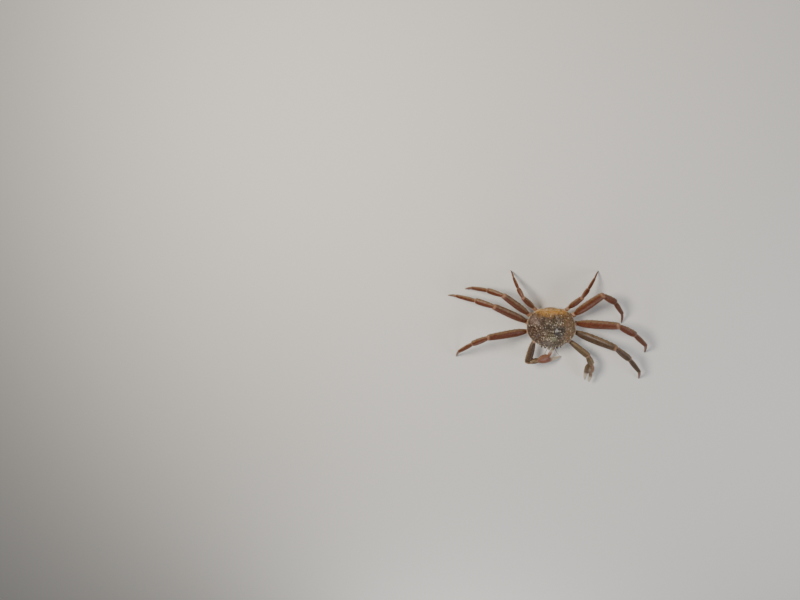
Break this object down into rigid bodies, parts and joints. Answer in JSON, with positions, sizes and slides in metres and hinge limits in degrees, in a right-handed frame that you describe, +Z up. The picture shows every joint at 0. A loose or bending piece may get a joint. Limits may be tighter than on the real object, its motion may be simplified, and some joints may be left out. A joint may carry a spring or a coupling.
{
  "type": "tanner crab",
  "caption": "Life-size still tanner crab: round warty shell, long flat jointed legs, two slim claws, one open, standing on its toes.",
  "frame": {"origin": "centre of the bounding box at floor level, where the toe tips stand", "axes": "+Z up, -Y the way the crab faces, +X the crab's own left"},
  "size_m": [0.5798, 0.353, 0.1076],
  "materials": {
    "carapace_shell": "wet, granular, brown-grey with a golden rear band",
    "underside_shell": "smooth cream shell",
    "leg_shell": "wet red-brown shell with cream edges",
    "leg_base_shell": "wet pale pinkish shell",
    "claw_leg_shell": "wet olive-brown shell",
    "claw_shell": "wet salmon to olive shell with white tips",
    "antenna": "dull red-brown",
    "eye": "polished dark red-brown"
  },
  "bodies": {
    "root": {"carapace": "carapace_shell", "thorax": "underside_shell", "tail_flap": "underside_shell", "eye_left": "eye", "antenna_left": "antenna", "mouth_plate_left": "underside_shell", "leg_left_1_base": "leg_base_shell", "leg_left_1_merus": "leg_shell", "leg_left_1_carpus": "leg_shell", "leg_left_1_propodus": "leg_shell", "leg_left_1_dactyl": "leg_shell", "leg_left_2_base": "leg_base_shell", "leg_left_2_merus": "leg_shell", "leg_left_2_carpus": "leg_shell", "leg_left_2_propodus": "leg_shell", "leg_left_2_dactyl": "leg_shell", "leg_left_3_base": "leg_base_shell", "leg_left_3_merus": "leg_shell", "leg_left_3_carpus": "leg_shell", "leg_left_3_propodus": "leg_shell", "leg_left_3_dactyl": "leg_shell", "leg_left_4_base": "leg_base_shell", "leg_left_4_merus": "leg_shell", "leg_left_4_carpus": "leg_shell", "leg_left_4_propodus": "leg_shell", "leg_left_4_dactyl": "leg_shell", "claw_left_base": "leg_base_shell", "claw_left_merus": "claw_leg_shell", "claw_left_carpus": "claw_leg_shell", "claw_left_palm": "claw_shell", "claw_left_finger": "claw_shell", "eye_right": "eye", "antenna_right": "antenna", "mouth_plate_right": "underside_shell", "leg_right_1_base": "leg_base_shell", "leg_right_1_merus": "leg_shell", "leg_right_1_carpus": "leg_shell", "leg_right_1_propodus": "leg_shell", "leg_right_1_dactyl": "leg_shell", "leg_right_2_base": "leg_base_shell", "leg_right_2_merus": "leg_shell", "leg_right_2_carpus": "leg_shell", "leg_right_2_propodus": "leg_shell", "leg_right_2_dactyl": "leg_shell", "leg_right_3_base": "leg_base_shell", "leg_right_3_merus": "leg_shell", "leg_right_3_carpus": "leg_shell", "leg_right_3_propodus": "leg_shell", "leg_right_3_dactyl": "leg_shell", "leg_right_4_base": "leg_base_shell", "leg_right_4_merus": "leg_shell", "leg_right_4_carpus": "leg_shell", "leg_right_4_propodus": "leg_shell", "leg_right_4_dactyl": "leg_shell", "claw_right_base": "leg_base_shell", "claw_right_merus": "claw_leg_shell", "claw_right_carpus": "claw_leg_shell", "claw_right_palm": "claw_shell", "claw_right_finger": "claw_shell"}
  },
  "joints": []
}
